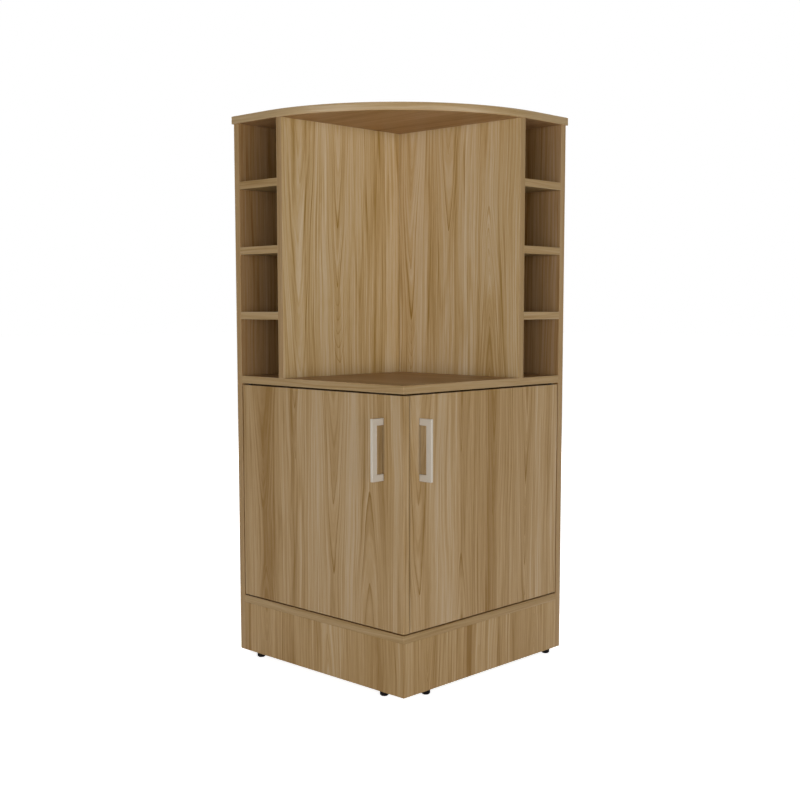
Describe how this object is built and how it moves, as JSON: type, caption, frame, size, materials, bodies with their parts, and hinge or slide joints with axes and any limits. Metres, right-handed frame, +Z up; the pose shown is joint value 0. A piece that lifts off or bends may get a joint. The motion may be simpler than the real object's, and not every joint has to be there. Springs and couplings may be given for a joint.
{
  "type": "corner cabinet",
  "caption": "Square corner cabinet with pigeonhole columns beside an open niche, and two inset doors below that meet at the corner; each door turns on its own pivot hinge.",
  "frame": {"origin": "centre of the bounding box's footprint, on the floor", "axes": "+Z up; the left front faces -Y, the right front faces +X, the walls are at -X and +Y"},
  "size_m": [0.6328, 0.6328, 1.3755],
  "materials": {
    "carcass_board": "satin elm-look laminate",
    "door_board": "satin elm-look laminate",
    "satin_nickel": "satin",
    "black_plastic": "matte",
    "brown_plastic": "matte",
    "zinc_steel": "satin",
    "black_zinc_steel": "black zinc plated",
    "beech": "bare"
  },
  "bodies": {
    "cabinet": {"base_panel": "carcass_board", "cupboard_shelf": "carcass_board", "left_bushes": "brown_plastic", "left_catch_case": "brown_plastic", "left_catch_poles": "zinc_steel", "left_front_feet": "black_plastic", "left_inner_panel": "carcass_board", "left_lower_pigeonhole_shelf": "carcass_board", "left_middle_pigeonhole_shelf": "carcass_board", "left_plinth": "carcass_board", "left_side_panel": "carcass_board", "left_upper_pigeonhole_shelf": "carcass_board", "loose_tongues": "beech", "rear_divider": "carcass_board", "right_bushes": "brown_plastic", "right_catch_case": "brown_plastic", "right_catch_poles": "zinc_steel", "right_front_feet": "black_plastic", "right_inner_panel": "carcass_board", "right_lower_pigeonhole_shelf": "carcass_board", "right_middle_pigeonhole_shelf": "carcass_board", "right_plinth": "carcass_board", "right_side_panel": "carcass_board", "right_upper_pigeonhole_shelf": "carcass_board", "shelf_pins": "zinc_steel", "top_panel": "carcass_board", "wall_corner_foot": "black_plastic", "worktop": "carcass_board"},
    "left_door": {"left_door": "door_board", "left_handle": "satin_nickel", "left_handle_screws": "zinc_steel", "left_upper_pivot": "black_zinc_steel", "left_lower_pivot": "black_zinc_steel", "left_strike_plate": "zinc_steel"},
    "right_door": {"right_door": "door_board", "right_handle": "satin_nickel", "right_handle_screws": "zinc_steel", "right_upper_pivot": "black_zinc_steel", "right_lower_pivot": "black_zinc_steel", "right_strike_plate": "zinc_steel"}
  },
  "joints": [
    {"name": "left_door_hinge", "type": "hinge", "parent": "cabinet", "child": "left_door", "pos_m": [-0.27036, -0.2701, 0.431], "axis": [0, 0, -1], "range_deg": [0, 110]},
    {"name": "right_door_hinge", "type": "hinge", "parent": "cabinet", "child": "right_door", "pos_m": [0.2701, 0.27036, 0.431], "axis": [0, 0, 1], "range_deg": [0, 110]}
  ]
}
